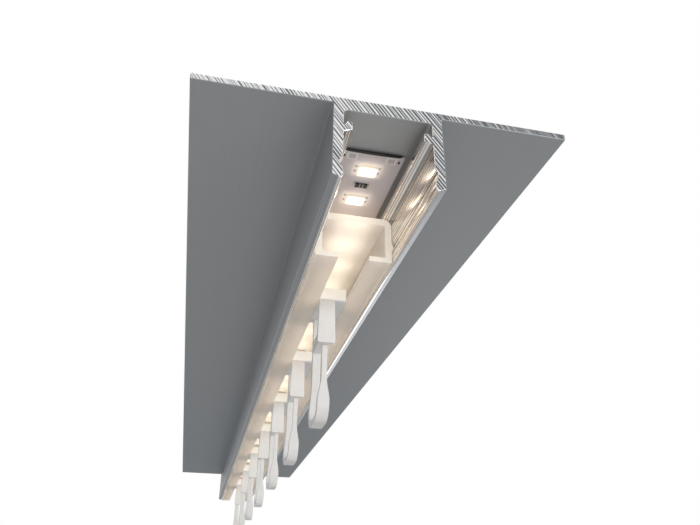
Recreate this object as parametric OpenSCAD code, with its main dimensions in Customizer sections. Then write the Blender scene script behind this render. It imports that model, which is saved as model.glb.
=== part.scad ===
// Plaster-in lighting profile for a ceiling, with a translucent curtain rail snapped into its
// channel below an LED strip. Curtain gliders with pleat hooks run in the rail's slot.
// X runs across the channel, Y along it, and Z is up. The origin is the centre of the flat top
// that is screwed or glued to the ceiling.

/* [Profile] */
// Length of the cut profile
profile_len = 290; // [150:5:310]
// Width over both plaster wings
wing_span = 56; // [44:1:80]
// Thickness of a wing
wing_t = 1.1; // [0.8:0.1:1.6]
// Outer width of the channel
channel_w = 16.2; // [16.2:0.1:20]
// Thickness of the crown above the channel
crown_t = 2.2; // [1.8:0.1:2.8]
// Thickness of a channel wall
wall_t = 1.6; // [1.4:0.1:1.8]
// Drop of a wall's outer edge below the wings, the plasterboard's thickness
wall_drop = 12.4; // [12.4:0.1:16]
// How much lower the inner edge of a wall's foot is than its outer edge
foot_bevel = 0.5; // [0.2:0.1:1]
// Radius in the corners of the channel's ceiling
corner_r = 0.6; // [0.2:0.1:0.8]

/* [Snap ribs and grooves] */
// Reach of a snap rib into the channel
rib_reach = 1.3; // [0.8:0.1:1.4]
// Height of the groove between the ceiling and a rib's tip
rib_drop = 1.9; // [1.6:0.1:2.4]
// Height of a rib's tip
rib_h = 1.6; // [1.2:0.1:2]
// Thickness of a rib's tip
rib_tip_t = 1.0; // [0.9:0.05:1.2]
// Rounding of a rib's tip
rib_r = 0.4; // [0.2:0.05:0.4]
// Thickness of the web that carries a rib's tip
rib_web = 1.0; // [0.6:0.1:1.2]
// Depth of the V groove that the rail snaps into
groove_depth = 0.5; // [0.3:0.05:0.6]
// Height of the V groove
groove_h = 2.6; // [1.8:0.1:3]
// Height of the V groove's bottom above the foot's outer edge
groove_rise = 2.35; // [2.2:0.05:4]

/* [Curtain rail] */
// Setback of the rail from the profile's near end
rail_setback = 21.2; // [15:0.1:40]
// Gap between the rail and each channel wall
rail_gap = 0.08; // [0.05:0.01:0.15]
// Gap between the rail's top and the ribs above it
rail_top_gap = 0.08; // [0.05:0.01:0.2]
// Depth of the rail's underside below the walls' outer edges
rail_proud = 0.55; // [0.2:0.05:1.5]
// Thickness of the rail's side walls
rail_side_t = 1.1; // [0.9:0.1:1.3]
// Thickness of the rail's top
rail_top_t = 1.25; // [1:0.05:1.6]
// Thickness of the rail's lips
rail_lip_t = 0.9; // [0.7:0.05:1.2]
// Radius of the rail's outer top corners
rail_corner_r = 1.4; // [1.1:0.1:2]
// Radius of the rail's outer bottom corners
rail_foot_r = 0.4; // [0.2:0.1:0.8]
// Width of the slot between the lips
slot_w = 5.1; // [4.4:0.1:5.6]
// Reach of the bead that snaps into the wall's groove
bead_reach = 0.36; // [0.2:0.02:0.4]
// Height of the bead
bead_h = 1.6; // [1:0.1:1.8]

/* [LED strip] */
// Setback of the strip from the profile's near end
strip_setback = 8.3; // [4:0.1:14]
// Width of the strip
strip_w = 10; // [8:0.5:10]
// Thickness of the adhesive tape
tape_t = 0.15; // [0.1:0.05:0.2]
// Thickness of the strip's circuit board
board_t = 0.25; // [0.2:0.05:0.3]
// Distance between cut marks
segment_len = 25; // [25:5:50]
// Number of light sources between cut marks
segment_leds = 3; // [3:1:6]
// Length of a light source across the strip
led_w = 3.5; // [3:0.1:3.5]
// Length of a light source along the strip
led_l = 2.5; // [2:0.1:3]
// Height of a light source
led_h = 0.5; // [0.4:0.05:0.9]
// Inset of the light window from the package's sides
led_rim = 0.4; // [0.3:0.05:0.5]
// Depth of the window in its rim
led_window_depth = 0.08; // [0.05:0.01:0.15]
// Length of a resistor across the strip
resistor_w = 2.0; // [1.6:0.1:2.2]
// Width of a resistor along the strip
resistor_l = 0.9; // [0.8:0.05:1.4]
// Height of a resistor
resistor_h = 0.35; // [0.3:0.05:0.6]
// Side of a solder pad
pad_side = 1.6; // [1:0.1:2]
// Height of a solder pad above the board
pad_t = 0.05; // [0.03:0.01:0.08]
// Distance of the pads' centres from the strip's middle line
pad_offset = 3.1; // [2.5:0.1:3.5]
// Gap between a pad and the cut mark
pad_setback = 0.35; // [0.2:0.05:0.6]

/* [Gliders] */
// Distance from the rail's near end to the first glider's front
glider_start = 16.9; // [8:0.1:40]
// Distance between gliders
glider_pitch = 34; // [30:0.5:60]
// Least length of rail left free behind the last glider
glider_end = 20; // [5:1:30]
// Length of a glider's neck along the rail
neck_len = 10.7; // [9:0.1:12]
// Gap between the neck and each lip
neck_gap = 0.1; // [0.05:0.01:0.2]
// Height of the neck's underside above the rail's underside
neck_recess = 0.15; // [0:0.05:0.3]
// Chamfer on the neck's front lower edge
neck_chamfer = 0.35; // [0.2:0.05:0.5]
// Distance from the neck's front to the head's wings
head_offset = 3.7; // [3:0.1:5]
// Length of the head's wings along the rail
head_len = 9.6; // [8:0.1:11]
// Gap between a head wing and the rail's side
head_gap = 0.5; // [0.3:0.05:0.8]
// Gap between the head's wings and the lips they ride on
head_lift = 0.1; // [0.05:0.01:0.2]
// Thickness of the head's wings
head_t = 1.6; // [1.2:0.1:2]
// Corner radius of the head's wings in plan
head_r = 1.8; // [1:0.1:2]
// Width of the ridge on the head
ridge_w = 2.6; // [1.6:0.1:3]
// Height of the ridge above the wings
ridge_h = 1.8; // [1:0.1:2]

/* [Pleat hook] */
// Width of the shield plate at the neck
shield_w = 2.8; // [2.4:0.1:3.2]
// Width of the shield plate at its lower edge
shield_low_w = 3.2; // [2.4:0.1:3.6]
// Drop of the shield plate below the neck
shield_drop = 8.3; // [7:0.1:10]
// Thickness of the shield plate
shield_t = 1.0; // [0.8:0.1:1.2]
// Rounding of the shield plate's lower corners
shield_r = 0.4; // [0.2:0.1:0.6]
// Width of the back leg and the cross bar
leg_w = 1.5; // [1.3:0.1:2]
// Thickness of both legs
leg_t = 1.2; // [1:0.1:1.4]
// Width of the hook's bend
bend_w = 2.1; // [2:0.1:2.6]
// Outer radius of the hook's bend
bend_r = 3.2; // [2:0.1:4]
// Drop of the hook's lowest edge below the neck
hook_drop = 21.8; // [19:0.1:26]
// Gap between the free leg's tip and the cross bar above it
bar_gap = 0.7; // [0.4:0.1:1.2]
// Height of the cross bar
bar_h = 2.4; // [1.8:0.1:2.6]
// Gap between the shield plate and the free leg behind it
tip_gap = 0.2; // [0.1:0.05:0.4]
// Width of the free leg's tip
tip_w = 0.95; // [0.8:0.05:1.2]
// Thickness of the free leg's tip
tip_t = 0.7; // [0.5:0.05:0.9]
// How far the free leg's tip reaches up behind the shield plate
tip_cover = 0.6; // [0.4:0.1:0.8]
// Height over which the free leg widens into the bend
flare_h = 4.2; // [3.5:0.1:8]

/* [Hidden] */
$fn = 48;
// Tiny overlap that makes two volumes of one solid merge
fuse = 0.05;
cut = 1;

near_y = -profile_len / 2;

wall_out = channel_w / 2;
wall_in = wall_out - wall_t;
ceiling_z = -crown_t;
wing_z = -wing_t;
wall_z = wing_z - wall_drop;
foot_z = wall_z - foot_bevel;
rib_top_z = ceiling_z - rib_drop;
rib_tip_z = rib_top_z - rib_h;
groove_z = wall_z + groove_rise;
// The ceiling's fillets end where the strip begins
ceiling_r = min(corner_r, wall_in - strip_w / 2);

rail_w = 2 * (wall_in - rail_gap);
rail_len = profile_len - rail_setback;
rail_y = near_y + rail_setback;
rail_top_z = rib_tip_z - rail_top_gap;
rail_low_z = wall_z - rail_proud;
rail_h = rail_top_z - rail_low_z;
lip_z = rail_low_z + rail_lip_t;
rail_room_w = rail_w - 2 * rail_side_t;

segments = floor((profile_len - strip_setback) / segment_len);
strip_len = segments * segment_len;
strip_y = near_y + strip_setback;
led_pitch = segment_len / segment_leds;
led_count = segments * segment_leds;
tape_z = ceiling_z - tape_t;
board_z = tape_z - board_t;

neck_w = slot_w - 2 * neck_gap;
neck_z = rail_low_z + neck_recess;
head_z = lip_z + head_lift;
head_w = rail_room_w - 2 * head_gap;
hook_x = -(neck_w - shield_w) / 2;
glider_reach = max(neck_len, head_offset + head_len);
glider_room = rail_len - glider_start - glider_reach - glider_end;
glider_count = floor(glider_room / glider_pitch) + 1;
hook_z = neck_z - hook_drop;
shield_z = neck_z - shield_drop;
tip_z = shield_z + tip_cover;
bar_z = tip_z + bar_gap;
free_y = shield_t + tip_gap;
hook_mid_y = (free_y + neck_len) / 2;
flare_z = hook_z + bend_r + flare_h;
flare_low_z = hook_z + bend_r;

function two_digits(i) = str(i < 9 ? "0" : "", i + 1);
function led_name(i) = str("led_", two_digits(i));
function resistor_name(i) = str("resistor_", two_digits(i));
function glider_name(i) = str("glider_", i + 1);

// Runs a section drawn in X and Z along Y, from start over a length
module along(start, length) {
    translate([0, start + length, 0]) rotate([90, 0, 0]) linear_extrude(length) children();
}

// Gives a side view drawn in Y and Z a width across X, centred on a middle
module across(middle, width) {
    translate([middle - width / 2, 0, 0]) rotate([90, 0, 90]) linear_extrude(width) children();
}

// Draws a section and its mirror image about the channel's middle
module both_sides() {
    children();
    mirror([1, 0]) children();
}

// Rectangle from its low corner, with rounded corners of one radius
module rounded_rect(low, size, r) {
    translate([low[0] + r, low[1]]) square([size[0] - 2 * r, size[1]]);
    translate([low[0], low[1] + r]) square([size[0], size[1] - 2 * r]);
    for (x = [r, size[0] - r], z = [r, size[1] - r])
        translate([low[0] + x, low[1] + z]) circle(r);
}

// One channel wall with its bevelled foot and the V groove for the rail's bead
module wall_section() {
    spread = groove_h / 2 * (1 + cut / groove_depth);
    difference() {
        polygon([[wall_out, -crown_t / 2], [wall_in, -crown_t / 2], [wall_in, foot_z + foot_bevel],
                 [wall_in + foot_bevel / 2, foot_z], [wall_out, wall_z]]);
        polygon([[wall_in - cut, groove_z - spread], [wall_in + groove_depth, groove_z],
                 [wall_in - cut, groove_z + spread]]);
    }
}

// Fillet between a wall and the channel's ceiling
module corner_section() {
    difference() {
        translate([wall_in - ceiling_r, ceiling_z - ceiling_r])
            square([ceiling_r + fuse, ceiling_r + fuse]);
        translate([wall_in - ceiling_r, ceiling_z - ceiling_r]) circle(ceiling_r);
    }
}

// Snap rib: an upturned rounded tip on a web that slopes back to the wall
module rib_section() {
    tip_in = wall_in - rib_reach;
    rounded_rect([tip_in, rib_tip_z], [rib_tip_t, rib_h], rib_r);
    polygon([[tip_in + rib_r, rib_tip_z], [wall_in + fuse, rib_tip_z - rib_r],
             [wall_in + fuse, rib_tip_z + rib_web], [tip_in + rib_r, rib_tip_z + rib_web]]);
}

module profile_section() {
    translate([-wing_span / 2, wing_z]) square([wing_span, wing_t]);
    translate([-wall_out, ceiling_z]) square([channel_w, crown_t]);
    both_sides() {
        wall_section();
        corner_section();
        rib_section();
    }
}

module profile() {
    color("silver") along(near_y, profile_len) profile_section();
}

// Outline of the rail without its hollow: round shoulders, small feet and the snap beads
module rail_outline() {
    half = rail_w / 2;
    root = rail_side_t / 2;
    spread = bead_h / 2 * (1 + root / bead_reach);
    translate([-half, lip_z]) square([rail_w, rail_h - rail_lip_t - rail_corner_r]);
    translate([rail_corner_r - half, lip_z])
        square([rail_w - 2 * rail_corner_r, rail_h - rail_lip_t]);
    rounded_rect([-half, rail_low_z], [rail_w, 2 * rail_lip_t], rail_foot_r);
    both_sides() {
        translate([half - rail_corner_r, rail_top_z - rail_corner_r]) circle(rail_corner_r);
        polygon([[half - root, groove_z - spread], [half + bead_reach, groove_z],
                 [half - root, groove_z + spread]]);
    }
}

module rail_section() {
    inner_r = rail_corner_r - rail_side_t;
    room_h = rail_h - rail_top_t - rail_lip_t;
    difference() {
        rail_outline();
        rounded_rect([-rail_room_w / 2, lip_z], [rail_room_w, room_h], inner_r);
        translate([-slot_w / 2, rail_low_z - cut]) square([slot_w, rail_lip_t + 2 * cut]);
    }
}

module curtain_rail() {
    color("ivory") along(rail_y, rail_len) rail_section();
}

module strip_tape() {
    color("dimgray") translate([-strip_w / 2, strip_y, tape_z]) cube([strip_w, strip_len, tape_t]);
}

// The board with a pair of pads on both sides of each cut mark, and at its two ends
module strip_board() {
    color("white") {
        translate([-strip_w / 2, strip_y, board_z]) cube([strip_w, strip_len, board_t]);
        for (i = [0:segments - 1], side = [-1, 1], end = [0, 1])
            translate([side * pad_offset - pad_side / 2,
                       strip_y + i * segment_len
                       + (end == 0 ? pad_setback : segment_len - pad_setback - pad_side),
                       board_z - pad_t])
                cube([pad_side, pad_side, pad_t + board_t / 2]);
    }
}

// Light source: white housing on four leads, with a recessed window and one cut corner
module led(i) {
    body_w = led_w - led_rim;
    lead_w = led_l / 4;
    body_h = led_h * 0.9;
    color("lightyellow") translate([0, strip_y + (i + 0.5) * led_pitch, board_z - led_h])
        difference() {
            union() {
                translate([-body_w / 2, -led_l / 2, 0]) cube([body_w, led_l, body_h]);
                for (end = [-1, 1])
                    translate([-led_w / 2, end * led_l / 4 - lead_w / 2, led_h - led_h / 4])
                        cube([led_w, lead_w, led_h / 4]);
            }
            translate([0, 0, -cut]) linear_extrude(cut + led_window_depth)
                rounded_rect([led_rim - body_w / 2, led_rim - led_l / 2],
                             [body_w - 2 * led_rim, led_l - 2 * led_rim], led_rim);
            translate([body_w / 2, led_l / 2, -cut]) rotate(45)
                translate([-led_rim / 2, -led_rim, 0]) cube([led_rim, 2 * led_rim, led_h]);
        }
}

// Chip resistor with raised tinned ends
module resistor(i) {
    cap = resistor_w / 5;
    lip = resistor_h / 12;
    color("black") translate([0, strip_y + i * segment_len + led_pitch, board_z - resistor_h]) {
        translate([-resistor_w / 2, -resistor_l / 2, lip])
            cube([resistor_w, resistor_l, resistor_h - lip]);
        for (side = [-1, 1])
            translate([side * (resistor_w - cap) / 2 - cap / 2, -resistor_l / 2, 0])
                cube([cap, resistor_l, resistor_h]);
    }
}

// Head inside the rail: two wings that ride on the lips, and a ridge that keeps it upright
module glider_head() {
    translate([0, 0, head_z]) {
        linear_extrude(head_t) rounded_rect([-head_w / 2, head_offset], [head_w, head_len], head_r);
        translate([-ridge_w / 2, head_offset, 0]) cube([ridge_w, head_len, head_t + ridge_h]);
    }
}

// Neck block that fills the slot, with a chamfer on its front lower edge
module glider_neck() {
    top_z = head_z + head_t;
    across(0, neck_w)
        polygon([[neck_chamfer, neck_z], [neck_len, neck_z], [neck_len, top_z], [0, top_z],
                 [0, neck_z + neck_chamfer]]);
}

// Flat plate that hangs at the neck's front, widens downwards and hides the free leg's tip
module glider_shield() {
    half = shield_w / 2;
    low = shield_low_w / 2;
    top_z = neck_z + neck_chamfer;
    along(0, shield_t) translate([hook_x, 0]) {
        translate([-low, shield_z]) {
            translate([shield_r, 0]) square([shield_low_w - 2 * shield_r, shield_r]);
            for (x = [shield_r, shield_low_w - shield_r]) translate([x, shield_r]) circle(shield_r);
        }
        polygon([[half, top_z], [-half, top_z], [-low, shield_z + shield_r],
                 [low, shield_z + shield_r]]);
    }
}

// Width of the free leg at a height, eased between its tip and the bend
function flare(s) = tip_w + (bend_w - tip_w) * s * s * (3 - 2 * s);

// Front view of the free leg and the near half of the bend
module free_leg_front() {
    steps = 8;
    curve = [for (k = [0:steps]) [flare(k / steps) / 2, flare_z + (flare_low_z - flare_z) * k / steps]];
    right = concat([[tip_w / 4, tip_z], [tip_w / 2, tip_z - tip_w / 2]], curve,
                   [[bend_w / 2, hook_z - cut]]);
    left = [for (k = [len(right) - 1:-1:0]) [-right[k][0], right[k][1]]];
    translate([hook_x, 0]) polygon(concat(right, left));
}

// Front view of the back leg and the far half of the bend
module back_leg_front() {
    half_leg = leg_w / 2;
    half_bend = bend_w / 2;
    translate([hook_x, 0])
        polygon([[half_leg, neck_z + fuse], [half_leg, flare_z], [half_bend, flare_low_z],
                 [half_bend, hook_z - cut], [-half_bend, hook_z - cut],
                 [-half_bend, flare_low_z], [-half_leg, flare_z], [-half_leg, neck_z + fuse]]);
}

// Side view of the whole hook: back leg, bend and the free leg that thins towards its tip
module hook_side() {
    depth = neck_len - free_y;
    top = neck_z + fuse;
    difference() {
        union() {
            rounded_rect([free_y, hook_z], [depth, 3 * bend_r], bend_r);
            translate([free_y, flare_low_z]) square([depth, top - flare_low_z]);
        }
        rounded_rect([free_y + leg_t, hook_z + leg_t], [depth - 2 * leg_t, 3 * bend_r],
                     bend_r - leg_t);
        translate([free_y + leg_t, flare_low_z]) square([depth - 2 * leg_t, top - flare_low_z + cut]);
        translate([free_y - cut, tip_z]) square([leg_t + 2 * cut, top - tip_z + cut]);
        polygon([[free_y + leg_t, flare_low_z], [free_y + tip_t, tip_z + fuse],
                 [free_y + leg_t + cut, tip_z + fuse], [free_y + leg_t + cut, flare_low_z]]);
    }
}

// Pleat hook: the side view and the two front views cut each other to its form
module glider_hook() {
    intersection() {
        across(hook_x, bend_w + cut) hook_side();
        union() {
            along(0, hook_mid_y) free_leg_front();
            along(hook_mid_y, neck_len - hook_mid_y) back_leg_front();
        }
    }
}

// Cross bar between the shield plate and the back leg, which closes the eye above it
module glider_bar() {
    translate([hook_x - leg_w / 2, shield_t / 2, bar_z])
        cube([leg_w, neck_len - leg_t / 2 - shield_t / 2, bar_h]);
}

module glider(i) {
    color("whitesmoke") translate([0, rail_y + glider_start + i * glider_pitch, 0]) {
        glider_head();
        glider_neck();
        glider_shield();
        glider_bar();
        glider_hook();
    }
}

profile();
curtain_rail();
strip_tape();
strip_board();
for (i = [0:led_count - 1]) led(i);
for (i = [0:segments - 1]) resistor(i);
for (i = [0:glider_count - 1]) glider(i);
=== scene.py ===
# %% [markdown]
# # A lit ceiling profile with a curtain rail
#
# The object is a piece of aluminium extrusion that is plastered into a ceiling. Its channel holds
# an LED strip, and below the strip a milky rail in which curtain gliders run. The solids come
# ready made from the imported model. This lesson gives each of them its finish, and adds the forms
# that are too soft or too small for a construction drawing: the rounded mouldings of the gliders,
# the solder on the strip, and the strip's dark cut end.

import math

import bmesh
import bpy
import numpy as np
from mathutils import Matrix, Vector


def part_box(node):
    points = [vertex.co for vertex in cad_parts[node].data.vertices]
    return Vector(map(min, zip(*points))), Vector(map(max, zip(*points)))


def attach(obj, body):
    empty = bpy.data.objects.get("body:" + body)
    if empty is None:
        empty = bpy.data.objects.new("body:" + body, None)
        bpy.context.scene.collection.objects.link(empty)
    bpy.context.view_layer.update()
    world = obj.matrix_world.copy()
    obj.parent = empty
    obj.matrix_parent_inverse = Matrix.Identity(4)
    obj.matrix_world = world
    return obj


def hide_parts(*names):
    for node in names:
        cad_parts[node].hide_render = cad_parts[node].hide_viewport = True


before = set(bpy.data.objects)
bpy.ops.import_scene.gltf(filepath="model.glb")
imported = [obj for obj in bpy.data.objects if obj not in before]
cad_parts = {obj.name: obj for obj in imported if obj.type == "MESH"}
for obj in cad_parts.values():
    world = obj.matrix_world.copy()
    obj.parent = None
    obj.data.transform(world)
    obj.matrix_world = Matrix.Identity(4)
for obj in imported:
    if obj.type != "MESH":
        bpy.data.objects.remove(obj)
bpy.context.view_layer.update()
MM = 0.001

# %% [markdown]
# ## Measures taken from the frame
#
# Every place below is worked out from the solids, in millimetres, so that a pattern stays on its
# piece when the construction changes. A node's vertices say where its walls are: the lowest ones
# of the profile are the feet of its walls.

# %% Read the measures
def points(node):
    """All vertices of a node as an array of rows x, y, z in millimetres."""
    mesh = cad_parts[node].data
    flat = np.empty(len(mesh.vertices) * 3, np.float32)
    mesh.vertices.foreach_get("co", flat)
    return flat.reshape(-1, 3).astype(float) / MM


def box_mm(node):
    """Lowest and highest corner of a node in millimetres."""
    low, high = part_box(node)
    return np.array(low) / MM, np.array(high) / MM


profile_low, profile_high = box_mm("profile")
rail_low, rail_high = box_mm("curtain_rail")
board_low = box_mm("strip_board")[0]
led_low, led_high = box_mm("led_01")
second_led_low = box_mm("led_02")[0]
resistor_low, resistor_high = box_mm("resistor_01")
second_resistor_low = box_mm("resistor_02")[0]
LED_PITCH = second_led_low[1] - led_low[1]
SEGMENT = second_resistor_low[1] - resistor_low[1]
profile_points = points("profile")
below_wings = profile_points[profile_points[:, 2] < profile_low[2] / 2]
WALL_OUT = below_wings[:, 0].max()
LEDS = sorted(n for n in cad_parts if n.startswith("led_"))
RESISTORS = sorted(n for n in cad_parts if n.startswith("resistor_"))
GLIDERS = sorted(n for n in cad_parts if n.startswith("glider_"))
print("walls", round(2 * WALL_OUT, 1), "mm apart outside, light sources every", round(LED_PITCH, 2), "mm")

# %% [markdown]
# ## Camera
#
# The picture is taken from below and from in front of the near end, close enough for a strong
# perspective. Three angles turn the camera: a turn about the vertical, a rise above the horizon
# and a small roll about its own axis. The lens is given by its focal length on a 36 mm sensor.

# %% Place the camera
CAMERA_PLACE = (-21.04, -213.84, -64.73)
TURN, RISE, ROLL = 12.738, 28.378, 0.542
FOCAL_LENGTH = 33.384
SENSOR = 36.0


def turned(axis, degrees):
    """Matrix that turns about one axis by an angle: cosines on the diagonal, sines off it."""
    i, j = {"X": (1, 2), "Y": (2, 0), "Z": (0, 1)}[axis]
    c, s = math.cos(math.radians(degrees)), math.sin(math.radians(degrees))
    m = np.eye(4)
    m[i, i], m[j, j], m[i, j], m[j, i] = c, c, -s, s
    return m


def make_camera():
    data = bpy.data.cameras.new("camera")
    data.lens, data.sensor_width = FOCAL_LENGTH, SENSOR
    data.clip_start, data.clip_end = 1 * MM, 20.0
    camera = bpy.data.objects.new("camera", data)
    place = turned("Z", -TURN) @ turned("X", 90 + RISE) @ turned("Z", ROLL)
    place[:3, 3] = np.array(CAMERA_PLACE) * MM
    camera.matrix_world = Matrix(place.tolist())
    bpy.context.scene.collection.objects.link(camera)
    bpy.context.scene.camera = camera
    return camera


camera = make_camera()
print("camera at", [round(v, 4) for v in camera.matrix_world.translation])

# %% [markdown]
# ## A small language for finishes
#
# A procedural finish is arithmetic on the place of a point. Written node by node it can't be
# read, so one class wraps a number that varies over the surface, and Python's own operators add
# the Math nodes. Colours and vectors don't pass through Math nodes, which would make them grey.
# They go through Mix and Vector Math nodes, which the second class offers together with one
# method for any other node. It serves the room's light as well as materials.

# %% Numbers that vary
class Amount:
    """A number that varies over a surface. Each operator on it adds one Math node."""

    def __init__(self, nodes, socket):
        self.nodes, self.socket = nodes, socket

    def math(self, operation, *others):
        values = dict(enumerate([self, *others]))
        return self.nodes.node("ShaderNodeMath", {"operation": operation}, values, 0)

    def __add__(self, other):
        return self.math("ADD", other)

    def __sub__(self, other):
        return self.math("SUBTRACT", other)

    def __rsub__(self, other):
        return self.math("MULTIPLY", -1.0) + other

    def __mul__(self, other):
        return self.math("MULTIPLY", other)

    def __truediv__(self, other):
        return self.math("DIVIDE", other)

    __radd__, __rmul__ = __add__, __mul__

    def size(self):
        return self.math("ABSOLUTE")

    def more_of(self, other):
        return self.math("MAXIMUM", other)

    def folded(self, period):
        """Distance from the middle of each period: a saw from minus half to plus half a period."""
        return self.math("WRAP", period / 2, -period / 2)

    def rise(self, start, end):
        """Smooth step: 0 up to start, 1 from end on. With start above end it falls."""
        low, high = min(start, end), max(start, end)
        values = {"Value": self, "From Min": low, "From Max": high,
                  "To Min": float(start > end), "To Max": float(start < end)}
        return self.nodes.node("ShaderNodeMapRange", {"interpolation_type": "SMOOTHSTEP"}, values, 0)


# %% Nodes written as calls
class Nodes:
    """A node tree that grows by one node with each call."""

    def __init__(self, tree):
        self.tree = tree

    def node(self, kind, settings, values, output):
        """Any node: its settings first, then the values or links of its sockets."""
        node = self.tree.nodes.new(kind)
        for name, value in settings.items():
            setattr(node, name, value)
        for key, value in values.items():
            socket = getattr(value, "socket", value)
            if isinstance(socket, bpy.types.NodeSocket):
                self.tree.links.new(node.inputs[key], socket)
            else:
                node.inputs[key].default_value = socket
        return Amount(self, node.outputs[output])

    def vector(self, operation, *inputs, scale=1.0):
        values = {**dict(enumerate(inputs)), 3: scale}
        return self.node("ShaderNodeVectorMath", {"operation": operation}, values, 0)

    def mix(self, factor, a, b):
        """Colour a where the factor is 0, colour b where it is 1."""
        a, b = (c if isinstance(c, Amount) else (*c, 1.0) for c in (a, b))
        return self.node("ShaderNodeMix", {"data_type": "RGBA"}, {0: factor, 6: a, 7: b}, 2)


# %% A finish under construction
class Finish(Nodes):
    """A material with its Principled shader, and the place of a point in millimetres."""

    def __init__(self, name, **constants):
        self.material = bpy.data.materials.new(name)
        self.material.use_nodes = True
        super().__init__(self.material.node_tree)
        self.shader = self.tree.nodes["Principled BSDF"]
        for socket, value in constants.items():
            self.shader.inputs[socket.replace("_", " ")].default_value = value
        place = self.node("ShaderNodeTexCoord", {}, {}, "Object")
        self.place = self.vector("SCALE", place, scale=1 / MM)
        self.x, self.y, self.z = (
            self.node("ShaderNodeSeparateXYZ", {}, {0: self.place}, axis) for axis in "XYZ")

    def noise(self, grains, detail=2.0):
        """Cloudy noise from 0 to 1, with so many grains per millimetre along x, y and z."""
        spot = self.vector("MULTIPLY", self.place, grains)
        return self.node("ShaderNodeTexNoise", {}, {"Vector": spot, "Scale": 1.0, "Detail": detail}, 0)

    def lines(self, along, per_mm, detail=2.0):
        """Noise from 0 to 1 that changes with one distance only, so it draws uneven stripes."""
        values = {"W": along * per_mm, "Scale": 1.0, "Detail": detail}
        return self.node("ShaderNodeTexNoise", {"noise_dimensions": "1D"}, values, 0)

    def set(self, **links):
        for socket, value in links.items():
            self.tree.links.new(self.shader.inputs[socket.replace("_", " ")], value.socket)

    def let_through(self, share, colour):
        """Lets a share of the light pass diffusely through each face, as a milky skin does."""
        through = self.node("ShaderNodeBsdfTranslucent", {}, {"Color": (*colour, 1.0)}, 0)
        values = {0: share, 1: self.shader.outputs[0], 2: through}
        both = self.node("ShaderNodeMixShader", {}, values, 0)
        self.tree.links.new(self.tree.nodes["Material Output"].inputs["Surface"], both.socket)

    def bump(self, height, depth_mm, strength=1.0):
        """Bends the light as a relief of that depth would."""
        values = {"Height": height, "Distance": depth_mm * MM, "Strength": strength}
        self.set(Normal=self.node("ShaderNodeBump", {}, values, "Normal"))

    def onto(self, slot_name, *pieces):
        """Gives the finish to CAD nodes, by name, and to new pieces, in every slot they have."""
        for piece in pieces:
            if isinstance(piece, str):
                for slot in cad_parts[piece].material_slots:
                    slot.material = self.material
            else:
                piece.data.materials.clear()
                piece.data.materials.append(self.material)


print("finishes can be written as expressions")

# %% [markdown]
# ## Edges that catch the light
#
# A solid from a drawing has knife edges, and a real extrusion or moulding has none: the die and
# the mould are rounded, and it is the rounding that catches the light along an edge. The forms
# are right already, so each piece starts as a copy of its solid. The copy's loose triangles are
# merged and its flat faces made whole again, so that a Bevel modifier finds only true edges.

# %% Round the edges of a solid
EDGE_ANGLE, FLAT_ANGLE = 35.0, 1.0
MERGE_WITHIN = 0.001
PROFILE_EDGE, RAIL_EDGE, GLIDER_EDGE = 0.15, 0.1, 0.22


def softened(node, body, radius_mm, steps=2):
    """Copy of a CAD node with its edges rounded to a radius. It stands for the node."""
    form = bmesh.new()
    form.from_mesh(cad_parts[node].data)
    bmesh.ops.remove_doubles(form, verts=form.verts, dist=MERGE_WITHIN * MM)
    bmesh.ops.dissolve_limit(
        form, angle_limit=math.radians(FLAT_ANGLE), verts=form.verts, edges=form.edges)
    for face in form.faces:
        face.smooth = True
    mesh = bpy.data.meshes.new(node + "_formed")
    form.to_mesh(mesh)
    form.free()
    piece = bpy.data.objects.new(node + "_formed", mesh)
    bpy.context.scene.collection.objects.link(piece)
    bevel = piece.modifiers.new("rounded edges", "BEVEL")
    bevel.width, bevel.segments = radius_mm * MM, steps
    bevel.limit_method, bevel.angle_limit = "ANGLE", math.radians(EDGE_ANGLE)
    bevel.miter_outer = "MITER_ARC"
    piece.modifiers.new("even shading", "WEIGHTED_NORMAL").keep_sharp = True
    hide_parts(node)
    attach(piece, body)
    return piece


profile_piece = softened("profile", "fixed", PROFILE_EDGE)
rail_piece = softened("curtain_rail", "fixed", RAIL_EDGE)
glider_pieces = [softened(name, name, GLIDER_EDGE, 3) for name in GLIDERS]
print("rounded:", profile_piece.name, rail_piece.name, "and", len(glider_pieces), "gliders")

# %% [markdown]
# ## Aluminium
#
# The extrusion is pressed through a die, which leaves faint straight lines along its whole length
# on a satin grey skin. Its two ends are sawn. A saw blade tears bright slanted stripes into the
# metal at each stroke, so the stripes are the distance across the blade's direction, folded into
# equal strokes and pushed about by noise in that one direction. The walls of the channel are
# polished, with uneven darker lines along them, and mirror the light sources. Their light warm
# colour is partly painted light of the strip, and the whole inside of the channel is painted a
# little lighter with it. Painted light makes the skin lighter towards the open end, and the feet of
# the walls are smoother than the wings.

# %% Places on the extrusion
ON_WALL = 0.01
END_SKIN = 0.01
WALL_Z = below_wings[below_wings[:, 0] > WALL_OUT - ON_WALL, 2].min()
WALL_IN = np.abs(below_wings[np.abs(below_wings[:, 2] - WALL_Z) < ON_WALL, 0]).min()
CEILING_Z = box_mm("strip_tape")[1][2]
print("walls from", round(WALL_IN, 2), "to", round(WALL_OUT, 2), "mm, down to", round(WALL_Z, 2))


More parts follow.
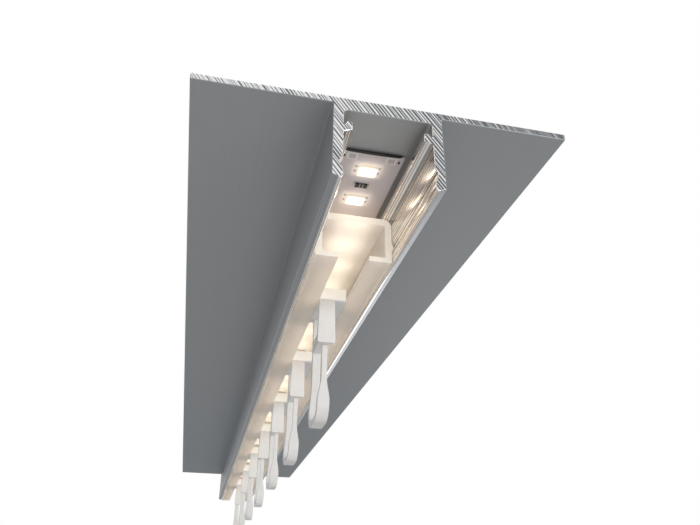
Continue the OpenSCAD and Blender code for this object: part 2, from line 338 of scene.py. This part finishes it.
# %% Aluminium finish
SATIN_DARK, SATIN_LIGHT = (0.285, 0.31, 0.335), (0.375, 0.39, 0.40)
# polished wall colour, warmed with painted light of the strip; and the darker lines along the walls
POLISH_AND_PAINTED_GLOW, RUBBED_WALL = (0.88, 0.85, 0.82), (0.36, 0.35, 0.34)
TORN_DARK, TORN_LIGHT = (0.11, 0.12, 0.13), (0.82, 0.82, 0.82)
FADE = 0.1
DIE_GRAINS = (9.0, 0.02, 9.0)
# shares of the die lines, of painted light towards the open end and of painted glow inside the channel
LINES_SHARE, PAINTED_OPEN_END_SHARE, PAINTED_GLOW_INSIDE_SHARE = 0.2, 0.8, 0.12
GROOVE_DEPTH = 0.7
WALL_START = 0.4
RUBS_PER_MM, RUB_FROM, RUB_TO = 3.4, 0.42, 0.47
SAW_ANGLE = 36.0
STRIPE_PITCH, STRIPE_SHIFT, SHIFTS_PER_MM = 0.45, 0.9, 1.2
TORN_FROM, TORN_TO, TORN_LEAN = 0.23, 0.32, 0.006
METAL_SHARE = 0.5
SATIN_ROUGH, WALL_POLISH, FOOT_POLISH, LINE_ROUGH = 0.46, 0.24, 0.2, 0.04
LINE_RELIEF, TEAR_DEPTH = 0.06, 0.03


def aluminium():
    f = Finish("aluminium")
    die_lines = f.noise(DIE_GRAINS, 4.0)
    # painted light: the skin is drawn lighter towards the open end
    painted_light_to_open_end = f.y.rise(profile_high[1], profile_low[1])
    lines_and_painted_light = die_lines.rise(0.3, 0.7) * LINES_SHARE + painted_light_to_open_end * PAINTED_OPEN_END_SHARE
    between_walls = f.x.size().rise(WALL_IN + GROOVE_DEPTH, WALL_IN + GROOVE_DEPTH - FADE)
    inside = between_walls * f.z.rise(CEILING_Z + FADE, CEILING_Z)
    wall = inside * f.z.rise(CEILING_Z - WALL_START, CEILING_Z - WALL_START - 2 * FADE)
    rubbed = f.lines(f.z, RUBS_PER_MM, 3.0).rise(RUB_FROM, RUB_TO)
    # painted light: the inside of the channel and its lower walls are drawn light and warm
    skin = f.mix(inside * PAINTED_GLOW_INSIDE_SHARE, f.mix(lines_and_painted_light, SATIN_DARK, SATIN_LIGHT), POLISH_AND_PAINTED_GLOW)
    skin = f.mix(wall, skin, f.mix(rubbed, RUBBED_WALL, POLISH_AND_PAINTED_GLOW))
    end = f.y.size().rise(profile_high[1] - 2 * END_SKIN, profile_high[1] - END_SKIN)
    across_blade = f.x * math.cos(math.radians(SAW_ANGLE)) + f.z * math.sin(math.radians(SAW_ANGLE))
    shifted = across_blade + f.lines(across_blade, SHIFTS_PER_MM) * STRIPE_SHIFT
    stripes = shifted.folded(STRIPE_PITCH).size() / STRIPE_PITCH
    torn = (stripes - f.x * TORN_LEAN).rise(TORN_FROM, TORN_TO)
    f.set(Base_Color=f.mix(end, skin, f.mix(torn, TORN_DARK, TORN_LIGHT)))
    f.set(Metallic=wall * (1 - end) * METAL_SHARE + METAL_SHARE - end * METAL_SHARE)
    foot = f.z.rise(WALL_Z + FADE, WALL_Z) * f.x.size().rise(WALL_IN - FADE, WALL_IN)
    smooth = wall * WALL_POLISH + foot * (1 - end) * FOOT_POLISH
    f.set(Roughness=SATIN_ROUGH - smooth + die_lines * LINE_ROUGH)
    f.bump(die_lines * (1 - end) * LINE_RELIEF + torn * end, TEAR_DEPTH, 0.5)
    return f


aluminium().onto("aluminium", profile_piece)
print("aluminium on the profile")

# %% [markdown]
# ## The milky rail
#
# The rail is extruded from a plastic that scatters light, and the strip shines through its top.
# Each face lets a share of the light pass, which carries it through the thin lips and leaves them
# darker where a glider's head lies on them, wherever the glider stands. The light that has already
# been spread inside the top wall is given as a glow of the wall itself, strongest below each
# source, and the cut end glows as well because the light leaves the plastic there.

# %% Rail finish
MILK, MILK_DEEP = (0.88, 0.86, 0.85), (0.83, 0.81, 0.80)
LIT_MILK, CLEAR_MILK = (1.0, 0.95, 0.83), (1.0, 0.955, 0.90)
RAIL_TOP_WALL, RAIL_SIDE_WALL, RAIL_LIP = 1.25, 1.1, 0.9
RAIL_ROOM_Z = rail_high[2] - RAIL_TOP_WALL
RAIL_ROOM_X, RAIL_LIP_Z = rail_high[0] - RAIL_SIDE_WALL, rail_low[2] + RAIL_LIP
FIRST_LED_Y = (led_low[1] + led_high[1]) / 2
TOP_GLOW_ENDS, TOP_GLOW_FULL, TOP_GLOW_FADE = 5.6, 1.0, 1.0
ROOM_GLOW, SKIN_GLOW, LED_PULSE = 0.2, 0.06, 0.2
THROUGH_SHARE = 0.65
FLOW_RELIEF = 0.01


def rail_plastic():
    f = Finish("milky_plastic", Subsurface_Weight=0.8, Subsurface_Scale=1.5 * MM, Roughness=0.36,
               Emission_Strength=0.85)
    f.shader.inputs["Subsurface Radius"].default_value = (1.0, 0.8, 0.55)
    flow = f.noise((2.0, 0.03, 2.0), 3.0)
    f.set(Base_Color=f.mix(flow.rise(0.3, 0.7), MILK, MILK_DEEP))
    beside_led = (f.y - FIRST_LED_Y).folded(LED_PITCH).size().rise(LED_PITCH / 2, 0)
    middle = f.x.size().rise(TOP_GLOW_ENDS, TOP_GLOW_FULL)
    top = f.z.rise(RAIL_ROOM_Z - TOP_GLOW_FADE, RAIL_ROOM_Z)
    room = f.x.size().rise(RAIL_ROOM_X + FADE, RAIL_ROOM_X) * f.z.rise(RAIL_LIP_Z - FADE, RAIL_LIP_Z)
    pulse = beside_led * LED_PULSE + (1 - LED_PULSE)
    # painted light: the inner walls of the rail glow as well, and its whole skin faintly
    glow = (top * middle).more_of(room * ROOM_GLOW + SKIN_GLOW) * pulse
    cut = f.y.rise(rail_low[1] + FADE, rail_low[1] + 2 * END_SKIN)
    f.set(Emission_Color=f.mix(glow.more_of(cut), (0, 0, 0), LIT_MILK))
    f.bump(flow, FLOW_RELIEF, 0.3)
    f.let_through(THROUGH_SHARE, CLEAR_MILK)
    return f


rail_plastic().onto("milky_plastic", rail_piece)
print("milky plastic on the rail, room up to", round(RAIL_ROOM_Z, 2))

# %% [markdown]
# ## The strip
#
# A flexible board carries three light sources and one resistor for each length that may be cut
# off. White lacquer covers it except at the tinned pads beside every cut mark. Each source is a
# white housing around a lens of yellow phosphor that glows warm white, and the board takes up its
# light in a halo. All of it repeats along the strip, so the patterns are folded by the pitch.

# %% Strip finishes
LACQUER, LACQUER_GREY = (0.76, 0.69, 0.71), (0.71, 0.645, 0.665)
TIN, TIN_EDGE, PRINT_BLACK = (0.58, 0.55, 0.53), (0.88, 0.86, 0.83), (0.015, 0.015, 0.015)
HALO = (1.0, 0.86, 0.72)
LAMP_LIGHT = (1.0, 0.92, 0.78)
LAMP_STRENGTH = 4.5
PAD_RELIEF = 0.03
PAD_X, PAD_Y, PAD_HALF, PAD_RIM = 3.1, 1.15, 0.5, 0.1
MARK_X, MARK_Y, MARK_FADE = (4.2, 4.55), (0.9, 1.6), 0.05
HALO_OUTER, HALO_INNER, HALO_SHARE = 4.0, 1.2, 0.4
GLARE_OUTER, GLARE_INNER = 1.1, -0.1
GLARE_BODY_SHARE = 0.15
WINDOW_X, WINDOW_Y = (1.85, 1.0), (1.5, 0.7)
FACE_DEPTH = 0.1
HOUSING, PHOSPHOR, HOUSING_GLOW = (0.85, 0.84, 0.8), (0.95, 0.8, 0.35), (0.06, 0.05, 0.035)
GLAZE, GLAZE_GREY, BAND_TIN = (0.008, 0.008, 0.009), (0.025, 0.025, 0.027), (0.45, 0.44, 0.43)
BAND_X, BAND_HALF = 0.25, 0.08
FOAM, FOAM_PALE = (0.30, 0.29, 0.28), (0.42, 0.41, 0.39)


def between(amount, bounds, fade):
    """1 between two bounds, with a smooth edge inside each of them."""
    low, high = bounds
    return amount.rise(low, low + fade) * amount.rise(high, high - fade)


def lacquered_board():
    f = Finish("board", Roughness=0.32, Emission_Strength=0.6)
    grain = f.noise((2.0, 2.0, 2.0), 3.0)
    lacquer = f.mix(grain, LACQUER, LACQUER_GREY)
    pads = f.z.rise(board_low[2] + PAD_RELIEF, board_low[2] + PAD_RELIEF / 2)
    from_cut = (f.y - board_low[1]).folded(SEGMENT).size()
    from_pad = (f.x.size() - PAD_X).size().more_of((from_cut - PAD_Y).size())
    metal = f.mix(from_pad.rise(PAD_HALF, PAD_HALF + PAD_RIM), TIN, TIN_EDGE)
    mark = between(f.x.size(), MARK_X, MARK_FADE) * between(from_cut, MARK_Y, MARK_FADE)
    f.set(Base_Color=f.mix(mark, f.mix(pads, lacquer, metal), PRINT_BLACK))
    f.set(Metallic=pads * 0.5)
    along = (f.y - FIRST_LED_Y).folded(LED_PITCH)
    distance = (f.x * f.x + along * along).math("SQRT")
    beside = (f.x.size() - led_high[0]).more_of(along.size() - LED_PITCH * GLARE_BODY_SHARE)
    halo = distance.rise(HALO_OUTER, HALO_INNER) + beside.rise(GLARE_OUTER, GLARE_INNER)
    f.set(Emission_Color=f.mix(halo * HALO_SHARE, (0, 0, 0), HALO))
    f.bump(grain, 0.02, 0.3)
    return f


def lamp():
    f = Finish("led", Roughness=0.3, Emission_Strength=LAMP_STRENGTH)
    along = (f.y - FIRST_LED_Y).folded(LED_PITCH).size()
    window = f.x.size().rise(*WINDOW_X) * along.rise(*WINDOW_Y)
    face = f.z.rise(led_low[2] + 2 * FACE_DEPTH, led_low[2] + FACE_DEPTH)
    f.set(Base_Color=f.mix(window, HOUSING, PHOSPHOR))
    f.set(Emission_Color=f.mix(window * window * face, HOUSING_GLOW, LAMP_LIGHT))
    return f


def chip_resistor():
    f = Finish("resistor", Roughness=0.35)
    bands = (f.x.size() - BAND_X).size().rise(BAND_HALF, BAND_HALF / 2)
    f.set(Base_Color=f.mix(bands, f.mix(f.noise((8.0, 8.0, 8.0)), GLAZE, GLAZE_GREY), BAND_TIN))
    f.set(Metallic=bands * 0.9)
    return f


def foam_tape():
    f = Finish("tape", Roughness=0.7)
    f.set(Base_Color=f.mix(f.noise((4.0, 4.0, 4.0), 3.0), FOAM, FOAM_PALE))
    return f


lacquered_board().onto("board", "strip_board")
lamp().onto("led", *LEDS)
chip_resistor().onto("resistor", *RESISTORS)
foam_tape().onto("tape", "strip_tape")
print("strip finished:", len(LEDS), "light sources,", len(RESISTORS), "resistors")

# %% [markdown]
# ## The strip's cut end
#
# The strip was cut with scissors at its mark. A thin black bead lies across the cut end, thicker in
# the middle than at the sides. The bead is a surface of two parameters: an ellipse carried across the
# strip, whose height swells along the way.

# %% Make the bead
def grid_mesh(name, surfaces, slot_name, finish):
    """Mesh of grids of points, an array of grids x rows x columns x 3 in millimetres. A face looks
    along (step to the next column) x (step to the next row), so the order of the points turns
    it outwards. Seams and poles are merged."""
    grids, rows, columns = surfaces.shape[:3]
    grid, i, j = np.meshgrid(np.arange(grids), np.arange(rows - 1), np.arange(columns - 1), indexing="ij")
    corner = (grid * rows + i) * columns + j
    faces = np.stack([corner, corner + 1, corner + columns + 1, corner + columns], -1)
    mesh = bpy.data.meshes.new(name)
    mesh.from_pydata((surfaces.reshape(-1, 3) * MM).tolist(), [], faces.reshape(-1, 4).tolist())
    form = bmesh.new()
    form.from_mesh(mesh)
    bmesh.ops.remove_doubles(form, verts=form.verts, dist=MERGE_WITHIN * MM)
    for face in form.faces:
        face.smooth = True
    form.to_mesh(mesh)
    form.free()
    piece = bpy.data.objects.new(name, mesh)
    bpy.context.scene.collection.objects.link(piece)
    finish.onto(slot_name, piece)
    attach(piece, "fixed")
    return piece


BEAD_BLACK, BEAD_BROWN = (0.01, 0.01, 0.01), (0.03, 0.028, 0.026)


# finish of the thin black bead across the strip's cut end
def bead_finish():
    f = Finish("squeezed_adhesive", Roughness=0.4)
    f.set(Base_Color=f.mix(f.noise((3.0, 3.0, 3.0)), BEAD_BLACK, BEAD_BROWN))
    return f


BEAD_WIDTH = 9.4
BEAD_THIN, BEAD_THICK, BEAD_OUT = 0.50, 0.60, 0.18


def bead_surface(rows=61, columns=17):
    """At u along the strip's width the height is (thin + swell cos^2(pi u)) sqrt(1 - (2u)^12),
    which closes both ends to a point. There v turns round an ellipse of that height whose far
    half lies in the strip's end."""
    u = np.linspace(-0.5, 0.5, rows)[:, None]
    v = np.linspace(0, 2 * np.pi, columns)[None, :]
    height = BEAD_THIN + (BEAD_THICK - BEAD_THIN) * np.cos(np.pi * u) ** 2
    height = height * np.sqrt(np.clip(1 - (2 * u) ** 12, 0, 1))
    y = board_low[1] - BEAD_OUT * np.cos(v) * height / BEAD_THICK
    z = CEILING_Z - height / 2 * (1 + np.sin(v))
    return np.stack(np.broadcast_arrays(u * BEAD_WIDTH, y, z), -1)


bead = grid_mesh("strip_end_bead", bead_surface()[None], "tape", bead_finish())
print("bead", BEAD_WIDTH, "mm wide with", len(bead.data.polygons), "faces")

# %% [markdown]
# ## Solder
#
# Solder climbs up each lead and spreads over its copper while it is molten, and sets as a hollow
# ramp. One ramp is a surface over the unit square: it falls with the square of the way outwards
# and drops to the board at both sides. The same ramp is set at all four leads of every light
# source and at both ends of every resistor, so the places are one array and the mesh is made once.

# %% Make the solder
LEAD_HEIGHT, LEAD_WIDTH, CAP_HEIGHT = 0.125, 0.625, 0.3
RAMP_REACH = 0.32
SOLDER_DULL, SOLDER_BRIGHT = (0.62, 0.61, 0.60), (0.80, 0.79, 0.77)


def ramps(x, ys, width, height, steps=5):
    """At u across and v outwards: x + reach v, y + width u, and a drop of height (1 - v)^2 (1 - (2u)^4)
    below the board. The way outwards over the hollow face is followed by the way back along the
    board and up the lead, so each ramp is closed. Places come first, each with its two sides.
    The ramp on the other side is the same one turned half round, and u falls from row to row, so
    that all faces point outwards."""
    out = np.linspace(0, 1, steps)
    v = np.concatenate([out, out[-2::-1], out[:1]])[None, :]
    hollow = np.concatenate([np.ones(steps), np.zeros(steps - 1), np.ones(1)])[None, :]
    u = np.linspace(0.5, -0.5, steps)[:, None]
    drop = height * hollow * (1 - v) ** 2 * (1 - (2 * u) ** 4)
    side = np.tile([1.0, -1.0], len(ys))[:, None, None]
    y = np.repeat(ys, 2)[:, None, None] + side * width * u
    return np.stack(np.broadcast_arrays(side * (x + RAMP_REACH * v), y, led_high[2] - drop), -1)


def solder():
    f = Finish("solder", Roughness=0.35, Metallic=0.5)
    f.set(Base_Color=f.mix(f.noise((5.0, 5.0, 5.0)), SOLDER_DULL, SOLDER_BRIGHT))
    return f


led_ys = FIRST_LED_Y + LED_PITCH * np.arange(len(LEDS))
lead_ys = np.concatenate([led_ys - LEAD_WIDTH, led_ys + LEAD_WIDTH])
cap_ys = (resistor_low[1] + resistor_high[1]) / 2 + SEGMENT * np.arange(len(RESISTORS))
solder_ramps = np.concatenate([
    ramps(led_high[0], lead_ys, LEAD_WIDTH, LEAD_HEIGHT),
    ramps(resistor_high[0], cap_ys, resistor_high[1] - resistor_low[1], CAP_HEIGHT)])
solder_piece = grid_mesh("solder_ramps", solder_ramps, "board", solder())
print(len(solder_ramps), "ramps of solder with", len(solder_piece.data.polygons), "faces")

# %% [markdown]
# ## Gliders
#
# A glider is one moulding in a slippery off-white plastic, dull from the mould's texture. Its
# neck and head stand in the light of the slot, which soaks into their front. That is given as a
# faint glow that is full at the front and gone a little way behind it.

# %% Glider finish
GLIDER_FRONT = box_mm("glider_1")[0][1]
GLIDER_PITCH = box_mm("glider_2")[0][1] - GLIDER_FRONT
GLIDER_WHITE, GLIDER_SHADE = (0.82, 0.815, 0.795), (0.76, 0.75, 0.73)
SLOT_GLOW_FROM, SLOT_GLOW_FULL = 0.2, 0.5
FRONT_GLOW_ENDS, FRONT_GLOW_FULL = 2.5, 0.3
MOULD_RELIEF = 0.01


def glider_plastic():
    f = Finish("glider", Roughness=0.42, Subsurface_Weight=0.15, Subsurface_Scale=0.6 * MM,
               Emission_Strength=0.4)
    cloud = f.noise((0.8, 0.8, 0.8), 3.0)
    grain = f.noise((14.0, 14.0, 14.0), 2.0)
    f.set(Base_Color=f.mix(cloud, GLIDER_WHITE, GLIDER_SHADE))
    in_slot = f.z.rise(rail_low[2] + SLOT_GLOW_FROM, rail_low[2] + SLOT_GLOW_FULL)
    behind_front = (f.y - GLIDER_FRONT - GLIDER_PITCH / 2).folded(GLIDER_PITCH) + GLIDER_PITCH / 2
    lit = in_slot * behind_front.rise(FRONT_GLOW_ENDS, FRONT_GLOW_FULL)
    f.set(Emission_Color=f.mix(lit, (0, 0, 0), LIT_MILK))
    f.bump(grain, MOULD_RELIEF, 0.25)
    return f


glider_plastic().onto("glider", *glider_pieces)
print("plastic on", len(GLIDERS), "gliders")

# %% [markdown]
# ## Room
#
# The floor is pale and far enough below that the camera can look up from underneath. The world
# lights everything evenly. Three soft lamps give the forms their modelling: one in front on the
# right, one overhead, and a faint one beyond the far end, which only the polished foot of the
# right wall mirrors towards the camera.

# %% Floor, world and lamps
FLOOR_Z = -0.62
FLOOR_RADIUS = 8.0
BEAM_ANGLE = 60.0
AMBIENT = 0.36
FLOOR_PALE, FLOOR_PALER = (0.92, 0.92, 0.92), (0.95, 0.95, 0.95)


def make_floor(corners=96):
    """Disc: one face whose corners lie at r cos a, r sin a for equal steps of the angle a."""
    turn = np.linspace(0, 2 * np.pi, corners, endpoint=False)
    x, y = FLOOR_RADIUS * np.cos(turn), FLOOR_RADIUS * np.sin(turn)
    rim = np.stack([x, y, np.full(corners, FLOOR_Z)], 1)
    mesh = bpy.data.meshes.new("floor")
    mesh.from_pydata(rim.tolist(), [], [list(range(corners))])
    floor = bpy.data.objects.new("floor", mesh)
    bpy.context.scene.collection.objects.link(floor)
    f = Finish("floor", Roughness=0.8)
    f.set(Base_Color=f.mix(f.noise((0.01, 0.01, 0.01)), FLOOR_PALE, FLOOR_PALER))
    mesh.materials.append(f.material)


def make_world():
    """White to the camera and in mirrors, and a dimmer white as the light on everything."""
    world = bpy.data.worlds.new("world")
    world.use_nodes = True
    bpy.context.scene.world = world
    sky = Nodes(world.node_tree)
    camera_ray, glossy_ray, transmission_ray = (
        sky.node("ShaderNodeLightPath", {}, {}, "Is %s Ray" % kind)
        for kind in ("Camera", "Glossy", "Transmission"))
    shown = camera_ray.more_of(glossy_ray).more_of(transmission_ray)
    background = sky.tree.nodes["Background"]
    background.inputs["Color"].default_value = (1, 1, 1, 1)
    sky.tree.links.new(background.inputs["Strength"], ((1 - AMBIENT) * shown + AMBIENT).socket)


def make_lamp(name, place, size, watts):
    """Soft rectangular lamp in metres and watts, which faces the object at the origin."""
    data = bpy.data.lights.new(name, "AREA")
    data.shape, data.energy = "RECTANGLE", watts
    data.size, data.size_y = size
    data.spread = math.radians(BEAM_ANGLE)
    lamp_object = bpy.data.objects.new(name, data)
    x, y, z = place
    rise = math.degrees(math.acos(z / math.hypot(x, y, z)))
    heading = math.degrees(math.atan2(x, -y))
    matrix = turned("Z", heading) @ turned("X", rise)
    matrix[:3, 3] = place
    lamp_object.matrix_world = Matrix(matrix.tolist())
    lamp_object.visible_camera = False
    bpy.context.scene.collection.objects.link(lamp_object)


make_floor()
make_world()
make_lamp("front", (0.8, -1.2, -0.02), (0.7, 0.7), 1.7)
make_lamp("rim", (0.66, 1.12, -0.18), (0.5, 0.25), 0.09)
make_lamp("overhead", (-0.2, 0.1, 1.4), (0.9, 0.9), 1.8)
bpy.context.scene.view_settings.view_transform = "Standard"
print("floor at", FLOOR_Z, "m")

# %% [markdown]
# ## End

# %% Finish
print("scene built")
